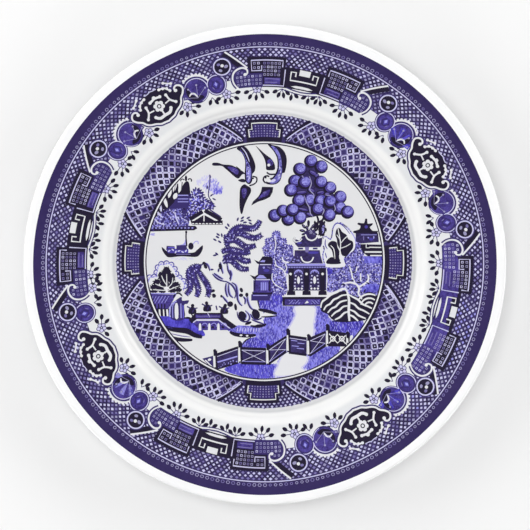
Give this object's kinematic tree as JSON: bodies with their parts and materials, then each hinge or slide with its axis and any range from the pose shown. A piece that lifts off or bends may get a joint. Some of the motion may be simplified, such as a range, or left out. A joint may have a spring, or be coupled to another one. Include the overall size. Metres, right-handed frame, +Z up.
{
  "type": "dinner plate",
  "caption": "Round china dinner plate with a foot ring, a flat well, a wide sloping rim, a plain white lip and separate blue underglaze print layers.",
  "frame": {"origin": "centre of the foot ring's flat resting face, on the surface that the plate stands on", "axes": "+Z up along the plate's axis of symmetry, out of the well; +Y towards the top of the centre scene"},
  "size_m": [0.267, 0.267, 0.024],
  "materials": {
    "white_glaze": "clear gloss glaze over white earthenware, wiped bare on the foot ring's resting face",
    "navy_ink": "solid dark cobalt band under the gloss glaze",
    "border_ink": "cobalt transfer print under the gloss glaze, from near-black outlines to mid violet-blue",
    "scene_ink": "cobalt transfer print with pale washes under the gloss glaze"
  },
  "bodies": {
    "root": {"plate_body": "white_glaze", "edge_band_print": "navy_ink", "rim_border_print": "border_ink", "well_border_print": "border_ink", "centre_scene_print": "scene_ink"}
  },
  "joints": []
}
